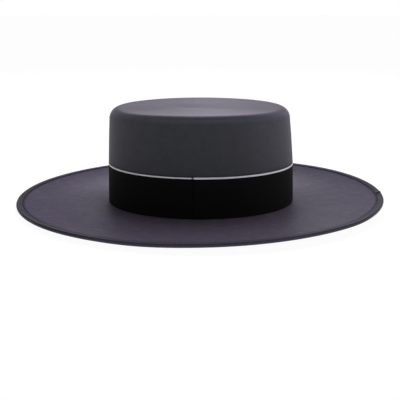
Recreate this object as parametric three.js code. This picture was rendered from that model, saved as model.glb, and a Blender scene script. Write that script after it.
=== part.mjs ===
// Gaucho hat of stiff wool felt: a low crown with a flat tip, a wide brim that rises a little
// towards its edge, a ribbon with a white piping, and a ribbon bound over the edge of the brim.
// Millimetres, +Z up. The hat rests on the level ring under its brim, at height 0.
// Its front looks along -Y, and the wearer's left is +X.
import * as THREE from "three";

// Head opening, measured inside the felt at the foot of the crown
const HEAD_LENGTH = 198.6;
const HEAD_WIDTH = 161.4;

// Felt
const FELT_THICKNESS = 2.4;
const FOOT_FILLET = 0.5;

// Crown, measured on the face of the ribbon and of the felt above it
const CROWN_HEIGHT = 107;
const CROWN_TAPER = 5.6;
const CROWN_LEAN = 1.7;
const CROWN_SETBACK = 1.2;
const SHOULDER_RADIUS_ENDS = 11.8;
const SHOULDER_RADIUS_SIDES = 4.5;
const TIP_DISH = 0.5;
const TIP_DISH_POWER = 4;
const TIP_DENT_DEPTH = 1.3;

// The tip leans a little: its right side and its back are higher. The wall takes this up above a height.
const TIP_ROLL = 0.15;
const TIP_PITCH = 0.2;
const TIP_LEAN_FROM = 60;

// Brim, measured over its binding
const BRIM_LENGTH = 403.4;
const BRIM_WIDTH = 366.4;
const LEVEL_RING = 16;
const RISE_POWER = 1.5;

// Height of the middle of the brim's edge, on each side of the hat
const EDGE_FRONT = 5.7;
const EDGE_BACK = 10.2;
const EDGE_LEFT = 7.7;
const EDGE_RIGHT = 9.1;

// Ribbon round the foot of the crown
const RIBBON_HEIGHT = 41;
const RIBBON_THICKNESS = 1;
const RIBBON_JOIN_ANGLE = -5;
const RIBBON_JOIN_GAP = 0.5;

// Piping along the upper edge of the ribbon, and the height in which the felt above it steps out
const PIPING_HEIGHT = 1.9;
const PIPING_PROUD = 0.3;
const PIPING_JOIN_GAP = 0.8;
const STEP_RISE = 1.7;

// Ribbon folded over the edge of the brim
const BINDING_WIDTH = 6.3;
const BINDING_THICKNESS = 1;
const BINDING_SEAM_ANGLE = 86;
const BINDING_SEAM_GAP = 0.9;
const SKIVED_THICKNESS = 1;

// Gap between pieces that touch on the real hat
const CLEARANCE = 0.3;

// Facets
const SIDES = 64;
const PIPING_SIDES = 8;
const FOLD_STEPS = 4;

// How the wall of the crown comes in and leans forward as it rises,
// in shares of the crown's height, taper and lean
const WALL_SECTIONS = [
  { height: 0.0, inset: 0.0, lean: 0.0 },
  { height: 0.42, inset: 0.2, lean: 0.1 },
  { height: 0.72, inset: 0.58, lean: 0.52 },
  { height: 1.0, inset: 1.0, lean: 1.0 },
];

// Shallow dents of the tip, as places and half-sizes in shares of the tip's half-length (front,
// length) and half-width (left, width), and depths in shares of the dent depth; below 0 is a swell
const TIP_DENTS = [
  { front: 0.14, left: 0.0, length: 0.22, width: 0.2, depth: 1.0 },
  { front: -0.12, left: 0.16, length: 0.22, width: 0.3, depth: 0.6 },
  { front: -0.5, left: -0.2, length: 0.3, width: 0.4, depth: 0.3 },
];

// Local rises of the tip's rim and of the brim's edge, as angles from the wearer's left towards the
// back, half-sizes in degrees and heights
const TIP_RISES = [
  { angle: -56, width: 26, height: -1.4 },
  { angle: 58, width: 28, height: -1.2 },
];
const EDGE_RISES = [
  { angle: -17, width: 11, height: -0.6 },
  { angle: 27, width: 20, height: 0.45 },
  { angle: 52, width: 9, height: -0.6 },
  { angle: 122, width: 24, height: 0.85 },
];

// Rings across the flat tip, as shares of its radius, from the middle out
const TIP_RINGS = [0.12, 0.28, 0.44, 0.6, 0.75, 0.89];

// Angles up the shoulder and round the bend at its foot, in degrees
const SHOULDER_ANGLES = [0, 24, 46, 68, 90];
const FOOT_ANGLES = [30, 60, 90];

// Rings across the brim, as shares of the way from the level ring to the binding
const BRIM_RINGS = [0, 0.2, 0.4, 0.6, 0.8, 1];

const FULL_TURN = 2 * Math.PI;

function mix(from, to, share) {
  return from + (to - from) * share;
}

function oval(halfLength, halfWidth, back) {
  return { halfLength, halfWidth, back };
}

function insetOval(outer, inset) {
  return oval(outer.halfLength - inset, outer.halfWidth - inset, outer.back);
}

function blendOval(from, to, share) {
  return oval(
    mix(from.halfLength, to.halfLength, share),
    mix(from.halfWidth, to.halfWidth, share),
    mix(from.back, to.back, share),
  );
}

// Point of an oval at an angle from the wearer's left, turning towards the back
function pointOn(ring, angle, height) {
  const x = ring.halfWidth * Math.cos(angle);
  const y = ring.halfLength * Math.sin(angle) + ring.back;
  return new THREE.Vector3(x, y, height);
}

// One ring of points, with a height that may depend on the place
function ringOf(ring, heightAt) {
  const points = [];
  for (let side = 0; side < SIDES; side += 1) {
    const angle = (FULL_TURN * side) / SIDES;
    points.push(pointOn(ring, angle, heightAt(angle)));
  }
  return points;
}

function levelRing(ring, height) {
  return ringOf(ring, () => height);
}

// Heights that stack on each other from the brim up
const ribbonFoot = FELT_THICKNESS + CLEARANCE;
const ribbonTop = ribbonFoot + RIBBON_HEIGHT;
const pipingMiddle = ribbonTop + CLEARANCE + PIPING_HEIGHT / 2;
const pipingTop = pipingMiddle + PIPING_HEIGHT / 2;
const shoulderFoot = CROWN_HEIGHT - SHOULDER_RADIUS_ENDS;

// How deep the felt lies behind the face of the ribbon that is pulled tight round it
const ribbonBed = RIBBON_THICKNESS + CLEARANCE;

// Oval of the crown's outer face at a height, flush with the face of the ribbon
function wallOval(height) {
  const share = Math.min(1, Math.max(0, height / CROWN_HEIGHT));
  const upper = WALL_SECTIONS.findIndex((section) => section.height >= share);
  const top = WALL_SECTIONS[Math.max(upper, 1)];
  const foot = WALL_SECTIONS[Math.max(upper, 1) - 1];
  const between = (share - foot.height) / (top.height - foot.height);
  const inset = CROWN_TAPER * mix(foot.inset, top.inset, between);
  const lean = CROWN_LEAN * mix(foot.lean, top.lean, between);
  const face = FELT_THICKNESS + ribbonBed - inset;
  return oval(HEAD_LENGTH / 2 + face, HEAD_WIDTH / 2 + face, CROWN_SETBACK - lean);
}

const feltFoot = insetOval(wallOval(0), ribbonBed);
const brimFoot = insetOval(feltFoot, -FOOT_FILLET);
const brimEdge = oval(BRIM_LENGTH / 2, BRIM_WIDTH / 2, 0);
const bindingLip = insetOval(brimEdge, BINDING_WIDTH);
const skiveEnd = insetOval(bindingLip, CLEARANCE);
const levelShare = LEVEL_RING / (skiveEnd.halfLength - brimFoot.halfLength);
const levelEnd = blendOval(brimFoot, skiveEnd, levelShare);

// Sum of local rises at an angle
function riseAt(rises, angle) {
  let sum = 0;
  for (const rise of rises) {
    const apart = THREE.MathUtils.radToDeg(angle) - rise.angle;
    const nearest = THREE.MathUtils.euclideanModulo(apart + 180, 360) - 180;
    sum += rise.height * Math.exp(-((nearest / rise.width) ** 2));
  }
  return sum;
}

// Height of the middle of the brim's edge at an angle, near its four named heights
function edgeHeight(angle) {
  const mean = (EDGE_FRONT + EDGE_BACK + EDGE_LEFT + EDGE_RIGHT) / 4;
  const pitch = ((EDGE_BACK - EDGE_FRONT) / 2) * Math.sin(angle);
  const roll = ((EDGE_LEFT - EDGE_RIGHT) / 2) * Math.cos(angle);
  const saddle = ((EDGE_LEFT + EDGE_RIGHT - EDGE_FRONT - EDGE_BACK) / 4) * Math.cos(2 * angle);
  return mean + pitch + roll + saddle + riseAt(EDGE_RISES, angle);
}

// Height of the middle of the brim: level next to the crown, then rising to its edge
function brimMiddle(ring, angle) {
  const reach = ring.halfLength - levelEnd.halfLength;
  const share = Math.max(0, reach / (brimEdge.halfLength - levelEnd.halfLength));
  const rise = edgeHeight(angle) - FELT_THICKNESS / 2;
  return FELT_THICKNESS / 2 + rise * share ** RISE_POWER;
}

function brimRing(ring, above) {
  return ringOf(ring, (angle) => brimMiddle(ring, angle) + above);
}

// How the crown's upper part is moved up at an angle, a height, and a share of the tip's radius
function tipLean(angle, height, share) {
  const rim = TIP_PITCH * Math.sin(angle) - TIP_ROLL * Math.cos(angle) + riseAt(TIP_RISES, angle);
  const part = THREE.MathUtils.clamp((height - TIP_LEAN_FROM) / (CROWN_HEIGHT - TIP_LEAN_FROM), 0, 1);
  return part * (share * rim - Math.hypot(TIP_ROLL, TIP_PITCH));
}

// How far the tip lies below its rim at a place given in shares of its half-length and half-width
function tipSag(front, left) {
  const fade = Math.max(0, 1 - Math.hypot(front, left) ** TIP_DISH_POWER);
  let dents = 0;
  for (const dent of TIP_DENTS) {
    const along = (front - dent.front) / dent.length;
    const across = (left - dent.left) / dent.width;
    dents += dent.depth * Math.exp(-(along ** 2) - across ** 2);
  }
  return fade * (TIP_DISH + TIP_DENT_DEPTH * dents);
}

// Point of the shoulder at an angle round the hat, where the felt has turned up by another angle;
// behind is how deep it lies behind the outer face
function shoulderPoint(angle, turn, behind) {
  const radius = mix(SHOULDER_RADIUS_ENDS, SHOULDER_RADIUS_SIDES, Math.cos(angle) ** 2);
  const bend = radius - behind;
  const foot = CROWN_HEIGHT - radius;
  const ring = insetOval(wallOval(foot), behind + bend * (1 - Math.cos(turn)));
  const height = foot + bend * Math.sin(turn);
  return pointOn(ring, angle, height + tipLean(angle, height, 1));
}

// Rings of the tip from the middle out, for the outer face or the one behind it
function tipRings(behind) {
  const height = CROWN_HEIGHT - behind;
  const middle = pointOn(oval(0, 0, wallOval(shoulderFoot).back), 0, height);
  const rings = [[middle.clone().setZ(height + tipLean(0, height, 0) - tipSag(0, 0))]];
  for (const share of TIP_RINGS) {
    const points = [];
    for (let side = 0; side < SIDES; side += 1) {
      const angle = (FULL_TURN * side) / SIDES;
      const point = middle.clone().lerp(shoulderPoint(angle, Math.PI / 2, behind), share);
      const sag = tipSag(-share * Math.sin(angle), share * Math.cos(angle));
      points.push(point.setZ(height + tipLean(angle, height, share) - sag));
    }
    rings.push(points);
  }
  return rings;
}

// Rings down the shoulder, from the tip to the wall
function shoulderRings(behind) {
  return [...SHOULDER_ANGLES].reverse().map((degrees) => {
    const turn = THREE.MathUtils.degToRad(degrees);
    const points = [];
    for (let side = 0; side < SIDES; side += 1) {
      points.push(shoulderPoint((FULL_TURN * side) / SIDES, turn, behind));
    }
    return points;
  });
}

// Stations down the wall, as heights and depths behind the face: the felt stands flush with the
// ribbon above the piping and lies deeper behind the piping and the ribbon
function wallStations() {
  const stepTop = pipingTop + STEP_RISE;
  return [
    { height: mix(stepTop, shoulderFoot, 0.5), depth: 0 },
    { height: stepTop, depth: 0 },
    { height: mix(pipingTop, stepTop, 0.4), depth: ribbonBed * 0.35 },
    { height: pipingTop, depth: ribbonBed },
    { height: FELT_THICKNESS + FOOT_FILLET, depth: ribbonBed },
  ];
}

function wallRings(behind) {
  return wallStations().map(({ height, depth }) =>
    ringOf(insetOval(wallOval(height), depth + behind), (angle) => height + tipLean(angle, height, 1)),
  );
}

// Round bend between wall and brim, seen in section, about the centre of the foot's fillet
function footRings(radius) {
  const centre = insetOval(feltFoot, -FOOT_FILLET);
  const rings = [];
  for (const degrees of FOOT_ANGLES) {
    const turn = THREE.MathUtils.degToRad(degrees);
    const ring = insetOval(centre, radius * Math.cos(turn));
    rings.push(levelRing(ring, FELT_THICKNESS + FOOT_FILLET - radius * Math.sin(turn)));
  }
  return rings;
}

// Round fold about the line that runs inside the edge of the brim, from its top to its underside
function foldPoints(radius) {
  const centre = SKIVED_THICKNESS / 2 + CLEARANCE + BINDING_THICKNESS;
  const points = [];
  for (let step = 0; step <= FOLD_STEPS; step += 1) {
    const turn = Math.PI * (0.5 - step / FOLD_STEPS);
    points.push({ inset: centre - radius * Math.cos(turn), above: radius * Math.sin(turn) });
  }
  return points;
}

// Closed skin over rings of points, where the first and last ring are single points
function skinOver(rings) {
  const positions = [];
  const starts = [];
  for (const ring of rings) {
    starts.push(positions.length / 3);
    for (const point of ring) {
      positions.push(point.x, point.y, point.z);
    }
  }
  const indices = [];
  for (let row = 0; row + 1 < rings.length; row += 1) {
    const upper = rings[row];
    const lower = rings[row + 1];
    for (let side = 0; side < SIDES; side += 1) {
      const next = (side + 1) % SIDES;
      const upperHere = starts[row] + (side % upper.length);
      const upperNext = starts[row] + (next % upper.length);
      const lowerHere = starts[row + 1] + (side % lower.length);
      const lowerNext = starts[row + 1] + (next % lower.length);
      if (lower.length > 1) {
        indices.push(upperHere, lowerHere, lowerNext);
      }
      if (upper.length > 1) {
        indices.push(upperHere, lowerNext, upperNext);
      }
    }
  }
  return geometryFrom(positions, indices);
}

// Closed strip round the hat with a flat end on each side of a narrow gap; sectionAt gives the
// corners of the strip's section at an angle, always the same number of them
function stripAround(sectionAt, gapDegrees, gapWidth, radius) {
  const facet = FULL_TURN / SIDES;
  const middle = THREE.MathUtils.degToRad(gapDegrees);
  const halfGap = gapWidth / 2 / radius;
  const first = middle + halfGap;
  const last = middle - halfGap + FULL_TURN;
  const sections = [sectionOnFacet(sectionAt, first, facet)];
  for (let step = Math.ceil(first / facet); step * facet < last; step += 1) {
    sections.push(sectionAt(step * facet));
  }
  sections.push(sectionOnFacet(sectionAt, last, facet));
  const corners = sections[0].length;
  const positions = sections.flat().flatMap((point) => [point.x, point.y, point.z]);
  const indices = [];
  for (let row = 0; row + 1 < sections.length; row += 1) {
    for (let corner = 0; corner < corners; corner += 1) {
      const here = row * corners + corner;
      const beside = row * corners + ((corner + 1) % corners);
      indices.push(here, here + corners, beside + corners);
      indices.push(here, beside + corners, beside);
    }
  }
  const end = (sections.length - 1) * corners;
  for (const [a, b, c] of endTriangles(sectionAt(0))) {
    indices.push(a, b, c);
    indices.push(end + a, end + c, end + b);
  }
  return geometryFrom(positions, indices);
}

// Section at an angle between two corners of the faceted hat, on the straight line between them
function sectionOnFacet(sectionAt, angle, facet) {
  const before = Math.floor(angle / facet);
  const near = sectionAt(before * facet);
  const far = sectionAt((before + 1) * facet);
  return near.map((point, corner) => point.clone().lerp(far[corner], angle / facet - before));
}

// Triangles that fill a section, found at the wearer's left, where it lies in the XZ plane
function endTriangles(section) {
  const outline = section.map((point) => new THREE.Vector2(point.x, point.z));
  return THREE.ShapeUtils.triangulateShape(outline, []);
}

function geometryFrom(positions, indices) {
  const geometry = new THREE.BufferGeometry();
  geometry.setAttribute("position", new THREE.Float32BufferAttribute(positions, 3));
  geometry.setIndex(indices);
  geometry.computeVertexNormals();
  return geometry;
}

function piece(name, geometry, color, roughness) {
  const material = new THREE.MeshStandardMaterial({ color, roughness, metalness: 0 });
  const mesh = new THREE.Mesh(geometry, material);
  mesh.name = name;
  return mesh;
}

// Crown and brim, blocked from one felt and hollow from below
function feltBody() {
  const crownOuter = [
    ...tipRings(0),
    ...shoulderRings(0),
    ...wallRings(0),
    ...footRings(FOOT_FILLET),
  ];
  const ovals = BRIM_RINGS.map((share) => blendOval(levelEnd, skiveEnd, share));
  const brimTop = ovals.map((ring) => brimRing(ring, FELT_THICKNESS / 2));
  const brimUnder = ovals.map((ring) => brimRing(ring, -FELT_THICKNESS / 2)).reverse();
  const skiveTop = brimRing(skiveEnd, SKIVED_THICKNESS / 2);
  const skiveUnder = brimRing(skiveEnd, -SKIVED_THICKNESS / 2);
  const edge = foldPoints(SKIVED_THICKNESS / 2).map((point) =>
    brimRing(insetOval(brimEdge, point.inset), point.above),
  );
  const crownInner = [
    ...tipRings(FELT_THICKNESS),
    ...shoulderRings(FELT_THICKNESS),
    ...wallRings(FELT_THICKNESS),
    ...footRings(FOOT_FILLET + FELT_THICKNESS),
  ].reverse();
  const rings = [
    ...crownOuter,
    ...brimTop,
    skiveTop,
    ...edge,
    skiveUnder,
    ...brimUnder,
    ...crownInner,
  ];
  return piece("felt_body", skinOver(rings), 0x4a4752, 0.95);
}

// Ribbon that lies flush with the felt above it
function ribbonBand() {
  const heights = [ribbonFoot, mix(ribbonFoot, ribbonTop, 0.5), ribbonTop];
  function sectionAt(angle) {
    const outer = heights.map((height) => pointOn(wallOval(height), angle, height));
    const inner = heights.map((height) =>
      pointOn(insetOval(wallOval(height), RIBBON_THICKNESS), angle, height),
    );
    return [...outer, ...inner.reverse()];
  }
  const radius = wallOval(ribbonFoot).halfWidth;
  const strip = stripAround(sectionAt, RIBBON_JOIN_ANGLE, RIBBON_JOIN_GAP, radius);
  return piece("ribbon_band", strip, 0x0b0b0c, 0.7);
}

// Oval cord that stands a little proud of the ribbon under it
function bandPiping() {
  const halfDepth = (RIBBON_THICKNESS + PIPING_PROUD) / 2;
  const middle = insetOval(wallOval(pipingMiddle), halfDepth - PIPING_PROUD);
  function sectionAt(angle) {
    const corners = [];
    for (let corner = 0; corner < PIPING_SIDES; corner += 1) {
      const turn = (FULL_TURN * corner) / PIPING_SIDES;
      const ring = insetOval(middle, -halfDepth * Math.cos(turn));
      const height = pipingMiddle + (PIPING_HEIGHT / 2) * Math.sin(turn);
      corners.push(pointOn(ring, angle, height));
    }
    return corners;
  }
  const radius = middle.halfWidth;
  const strip = stripAround(sectionAt, RIBBON_JOIN_ANGLE, PIPING_JOIN_GAP, radius);
  return piece("band_piping", strip, 0xe6e6e8, 0.6);
}

// Ribbon folded over the skived edge of the brim
function brimBinding() {
  const innerFold = SKIVED_THICKNESS / 2 + CLEARANCE;
  const outerFold = innerFold + BINDING_THICKNESS;
  const outline = [
    { inset: BINDING_WIDTH, above: -outerFold },
    ...foldPoints(outerFold).reverse(),
    { inset: BINDING_WIDTH, above: outerFold },
    { inset: BINDING_WIDTH, above: innerFold },
    ...foldPoints(innerFold),
    { inset: BINDING_WIDTH, above: -innerFold },
  ];
  function sectionAt(angle) {
    return outline.map((corner) => {
      const ring = insetOval(brimEdge, corner.inset);
      return pointOn(ring, angle, brimMiddle(ring, angle) + corner.above);
    });
  }
  const radius = brimEdge.halfWidth;
  const strip = stripAround(sectionAt, BINDING_SEAM_ANGLE, BINDING_SEAM_GAP, radius);
  return piece("brim_binding", strip, 0x33323a, 0.8);
}

const hat = new THREE.Group();
hat.add(feltBody(), ribbonBand(), bandPiping(), brimBinding());

export default hat;
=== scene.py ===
import math

import bpy
import numpy as np
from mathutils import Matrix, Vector


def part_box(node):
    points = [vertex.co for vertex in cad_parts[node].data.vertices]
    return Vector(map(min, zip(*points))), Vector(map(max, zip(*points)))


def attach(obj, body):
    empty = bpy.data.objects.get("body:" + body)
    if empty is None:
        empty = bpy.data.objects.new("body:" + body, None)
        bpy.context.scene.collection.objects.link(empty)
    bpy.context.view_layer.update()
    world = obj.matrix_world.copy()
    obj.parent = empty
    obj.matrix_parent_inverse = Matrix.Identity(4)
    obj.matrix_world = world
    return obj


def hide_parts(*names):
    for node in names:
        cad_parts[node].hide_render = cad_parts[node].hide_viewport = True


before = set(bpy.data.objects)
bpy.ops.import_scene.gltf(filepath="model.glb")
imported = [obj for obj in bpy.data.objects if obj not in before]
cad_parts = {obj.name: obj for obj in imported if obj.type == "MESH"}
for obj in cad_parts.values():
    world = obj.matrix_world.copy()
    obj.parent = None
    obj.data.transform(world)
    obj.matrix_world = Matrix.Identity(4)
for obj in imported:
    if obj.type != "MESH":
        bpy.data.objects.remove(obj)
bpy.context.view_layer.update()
print("packed hat loaded:", ", ".join(sorted(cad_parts)))

mm = 0.001  # sizes below are in millimetres, meshes in metres


def boxOf(node):
    low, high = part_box(node)
    return np.array(low) / mm, np.array(high) / mm


def linearColour(hexCode):
    parts = [int(hexCode[i:i + 2], 16) / 255 for i in (1, 3, 5)]
    return [c / 12.92 if c <= 0.04045 else ((c + 0.055) / 1.055) ** 2.4 for c in parts] + [1.0]


def addNode(tree, kind, settings=None, values=None, links=None):
    # an input's link names a socket, or a node for its first output
    node = tree.nodes.new(kind)
    for name, value in (settings or {}).items():
        setattr(node, name, value)
    for name, value in (values or {}).items():
        node.inputs[name].default_value = value
    for name, source in (links or {}).items():
        socket = source.outputs[0] if isinstance(source, bpy.types.Node) else source
        tree.links.new(socket, node.inputs[name])
    return node


def between(span, unit=1.0):
    # the input range of a Map Range node
    return {"From Min": span[0] * unit, "From Max": span[1] * unit}


def newMaterial(name):
    material = bpy.data.materials.new(name)
    material.use_nodes = True
    tree = material.node_tree
    tree.nodes.clear()
    return material, tree, addNode(tree, "ShaderNodeTexCoord")


def newObject(name, data):
    thing = bpy.data.objects.new(name, data)
    bpy.context.scene.collection.objects.link(thing)
    return thing


def ramp(value, span):
    return np.clip((value - span[0]) / (span[1] - span[0]), 0, 1)


def bell(value, middle, width):
    return np.exp(-((value - middle) / width) ** 2)


feltHigh = boxOf("felt_body")[1]
bandLow, bandHigh = boxOf("ribbon_band")
pipingLow, pipingHigh = boxOf("band_piping")
bindingLow, bindingHigh = boxOf("brim_binding")

# Camera, at the photo's place and angle
cameraSetup = {
    "distance": 808.4,       # from the foot of the ribbon, in the middle of the crown
    "azimuth": 89.3,         # 90 looks at the wearer's left
    "elevation": 14.86,
    "focalLength": 64.55,    # on a 36 mm sensor
    "shiftX": -0.0025,
    "shiftY": -0.0046,
}


def makeCamera():
    data = bpy.data.cameras.new("photoCamera")
    data.lens = cameraSetup["focalLength"]
    data.sensor_width = 36
    data.shift_x = cameraSetup["shiftX"]
    data.shift_y = cameraSetup["shiftY"]
    data.dof.use_dof = False
    camera = newObject("photoCamera", data)
    target = Vector((0, (bandLow[1] + bandHigh[1]) / 2, bandLow[2])) * mm
    around = math.radians(cameraSetup["azimuth"])
    above = math.radians(cameraSetup["elevation"])
    level = math.cos(above)
    back = Vector((math.sin(around) * level, -math.cos(around) * level, math.sin(above)))
    camera.location = target + back * cameraSetup["distance"] * mm
    camera.rotation_euler = (-back).to_track_quat("-Z", "Y").to_euler()
    bpy.context.scene.camera = camera


makeCamera()

# White studio: a white floor and horizon under a dark ceiling. Seen from the camera, three soft lamps
# hang above and beyond the crown, and two more stand at the picture's right, at the back of the hat.
# Their light is a little cooler than the white.
studio = {
    "horizonLight": 1.0,
    "ceilingLight": 0.03,
    "skySpan": (0.05, 0.6),  # share of the sky's height over which horizon turns to ceiling
    "floorColour": "#6e6e6e",
    "floorGlow": 0.94,
    "floorSize": 40,         # metres
    "lamps": [
        {"name": "lampAbove", "place": (-0.1, 0.0, 0.5), "aim": (0.0, 0.0, 0.08),
         "size": 0.3, "watts": 1.07},
        {"name": "lampRight", "place": (-0.3, 0.4, 0.4), "aim": (0.0, 0.0, 0.08),
         "size": 0.4, "watts": 0.32},
        {"name": "lampBehind", "place": (-1.5, 0.0, 0.8), "aim": (0.0, 0.0, 0.05),
         "size": 1.0, "watts": 3.67},
        {"name": "lampFront", "place": (0.5, 1.2, 0.25), "aim": (0.0, 0.0, 0.06),
         "size": 0.3, "watts": 1.75},
        {"name": "lampSide", "place": (-0.2, 1.3, 0.3), "aim": (0.0, 0.0, 0.06),
         "size": 0.4, "watts": 1.6},
    ],
    "lampColour": (1.02, 1.0, 1.146),
}


def makeStudio():
    world = bpy.data.worlds.new("whiteSurround")
    world.use_nodes = True
    sky = world.node_tree
    direction = addNode(sky, "ShaderNodeTexCoord")
    height = addNode(sky, "ShaderNodeSeparateXYZ", links={0: direction.outputs["Generated"]})
    strength = addNode(sky, "ShaderNodeMapRange", {"interpolation_type": "SMOOTHSTEP"}, {
        **between(studio["skySpan"]), "To Min": studio["horizonLight"], "To Max": studio["ceilingLight"]}, {
        "Value": height.outputs["Z"]})
    sky.nodes["Background"].inputs["Color"].default_value = (1, 1, 1, 1)
    sky.links.new(strength.outputs[0], sky.nodes["Background"].inputs["Strength"])
    bpy.context.scene.world = world
    bpy.context.scene.view_settings.view_transform = "Standard"
    bpy.ops.mesh.primitive_plane_add(size=studio["floorSize"])
    floor = bpy.context.object
    floor.name = "paleFloor"
    paint = bpy.data.materials.new("paleFloor")
    paint.use_nodes = True
    shader = paint.node_tree.nodes["Principled BSDF"]
    shader.inputs["Base Color"].default_value = linearColour(studio["floorColour"])
    shader.inputs["Roughness"].default_value = 0.9
    shader.inputs["Specular IOR Level"].default_value = 0.1
    shader.inputs["Emission Color"].default_value = (1, 1, 1, 1)
    shader.inputs["Emission Strength"].default_value = studio["floorGlow"]
    floor.data.materials.append(paint)
    for lamp in studio["lamps"]:
        data = bpy.data.lights.new(lamp["name"], "AREA")
        data.shape = "DISK"
        data.size = lamp["size"]
        data.energy = lamp["watts"]
        data.color = studio["lampColour"]
        light = newObject(lamp["name"], data)
        light.location = lamp["place"]
        light.visible_camera = False
        ray = Vector(lamp["aim"]) - Vector(lamp["place"])
        light.rotation_euler = ray.to_track_quat("-Z", "Y").to_euler()


makeStudio()
print("camera, floor and light are set")

# Form of the hat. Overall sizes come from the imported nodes.
hatForm = {
    "crownHeight": feltHigh[2],
    "crownTaper": 5.6,       # how far each side leans in
    "crownLean": 1.7,        # how far the crown leans forward
    "setback": (bandLow[1] + bandHigh[1]) / 2,
    "shoulderRadius": 11.8,  # at the front and the back
    "sideShoulder": 4.5,     # at the wearer's left and right
    "tipDish": 0.5,
    "tipDishPower": 4,       # the higher, the flatter the dish
    "tipDentDepth": 1.3,
    "tipRoll": 0.15,         # the tip's right side is higher
    "tipPitch": 0.2,         # and its back
    "tipLeanFrom": 60.0,     # the height where this lean begins
    "felt": 2.4,             # thickness
    "skivedFelt": 1.0,       # thickness under the binding
    "skiveMargin": 0.15,     # felt that is skived beside the binding
    "ribbon": 1.0,           # thickness of the ribbon and the binding
    "gap": 0.3,              # between felt and ribbon
    "footFillet": 0.5,
    "stepRise": 1.7,         # height over which the felt swells out above the ribbon
    "stepBend": (0.4, 0.35),  # where it bends, by shares of the step's height and depth
    "levelRing": 16.0,       # level part of the brim beside the crown
    "risePower": 1.5,
    "edgeFront": 5.7,        # heights of the brim's edge
    "edgeBack": 10.2,
    "edgeLeft": 7.7,
    "edgeRight": 9.1,
}

# the crown's face, by shares of its height, its taper and its lean
wallSections = [
    {"height": 0.0, "inset": 0.0, "lean": 0.0},
    {"height": 0.42, "inset": 0.2, "lean": 0.1},
    {"height": 0.72, "inset": 0.58, "lean": 0.52},
    {"height": 1.0, "inset": 1.0, "lean": 1.0},
]

# dents by shares of the tip's radius and of the dent's depth
tipDents = [
    {"front": 0.14, "left": 0.0, "length": 0.22, "width": 0.2, "depth": 1.0},
    {"front": -0.12, "left": 0.16, "length": 0.22, "width": 0.3, "depth": 0.6},
    {"front": -0.5, "left": -0.2, "length": 0.3, "width": 0.4, "depth": 0.3},
]

# local rises in mm of the tip's rim and the brim's edge, by degrees from the wearer's left to the back
tipRises = [
    {"angle": -56, "width": 26, "height": -1.4},
    {"angle": 58, "width": 28, "height": -1.2},
]
edgeRises = [
    {"angle": -17, "width": 11, "height": -0.6},
    {"angle": 27, "width": 20, "height": 0.45},
    {"angle": 52, "width": 9, "height": -0.6},
    {"angle": 122, "width": 24, "height": 0.85},
]


def wallOval(height, behind=0.0):
    # half-length, half-width and setback of the crown's face at a height
    share = np.clip(height / hatForm["crownHeight"], 0, 1)
    heights, insets, leans = [
        [section[key] for section in wallSections] for key in ("height", "inset", "lean")]
    inset = hatForm["crownTaper"] * np.interp(share, heights, insets)
    lean = hatForm["crownLean"] * np.interp(share, heights, leans)
    footInset = hatForm["crownTaper"] * wallSections[1]["inset"] / wallSections[1]["height"]
    footInset *= bandLow[2] / hatForm["crownHeight"]
    halfLength = (bandHigh[1] - bandLow[1]) / 2 + footInset
    halfWidth = (bandHigh[0] - bandLow[0]) / 2 + footInset
    return np.array([halfLength - inset - behind, halfWidth - inset - behind, hatForm["setback"] - lean])


ribbonBed = hatForm["ribbon"] + hatForm["gap"]
brimEdge = np.array([(bindingHigh[1] - bindingLow[1]) / 2, (bindingHigh[0] - bindingLow[0]) / 2, 0.0])
brimFoot = wallOval(0, ribbonBed - hatForm["footFillet"])
bindingWidth = 6.2  # seen from above
innerFold = hatForm["skivedFelt"] / 2 + hatForm["gap"]  # half-heights of the binding's fold
outerFold = innerFold + hatForm["ribbon"]


def insetOval(oval, inset):
    return oval - np.array([inset, inset, 0])


skiveEnd = insetOval(brimEdge, bindingWidth + hatForm["skiveMargin"])
levelEnd = brimFoot + (skiveEnd - brimFoot) * hatForm["levelRing"] / (skiveEnd[0] - brimFoot[0])


def brimRow(oval, above, **more):
    # a row of the brim: level next to the crown, then rising by its share of the edge's height
    share = max(0.0, (oval[0] - levelEnd[0]) / (brimEdge[0] - levelEnd[0])) ** hatForm["risePower"]
    return {"oval": oval, "height": hatForm["felt"] / 2 * (1 - share) + above, "rise": share, **more}


def row(oval, height, **more):
    # "side" may give another oval and height, which the row has at the wearer's left and right
    return {"oval": oval, "height": height, "rise": 0.0, **more}


def riseAt(rises, turn):
    total = 0
    for rise in rises:
        apart = (np.degrees(turn) - rise["angle"] + 180) % 360 - 180
        total = total + rise["height"] * bell(apart, 0, rise["width"])
    return total


def tipLean(turn, height, share):
    # how the crown's upper part moves up at a turn, a height and a share of the tip's radius
    roll, pitch, start = hatForm["tipRoll"], hatForm["tipPitch"], hatForm["tipLeanFrom"]
    rim = pitch * np.sin(turn) - roll * np.cos(turn) + riseAt(tipRises, turn)
    part = np.clip((height - start) / (hatForm["crownHeight"] - start), 0, 1)
    return part * (share * rim - math.hypot(roll, pitch))


def tipSag(front, left):
    fade = np.maximum(0, 1 - np.hypot(front, left) ** hatForm["tipDishPower"])
    dents = 0
    for dent in tipDents:
        along = (front - dent["front"]) / dent["length"]
        across = (left - dent["left"]) / dent["width"]
        dents = dents + dent["depth"] * np.exp(-along ** 2 - across ** 2)
    return fade * (hatForm["tipDish"] + hatForm["tipDentDepth"] * dents)


def turnsAlong(oval, start, end, count):
    # angles round an oval, evenly spaced along its line
    fineSteps = 4000
    fine = np.linspace(start, end, fineSteps)
    speed = np.hypot(oval[0] * np.cos(fine), oval[1] * np.sin(fine))
    line = np.concatenate([[0], np.cumsum((speed[1:] + speed[:-1]) / 2 * np.diff(fine))])
    places = np.linspace(0, line[-1], count)
    return np.interp(places, line, fine), places


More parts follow.
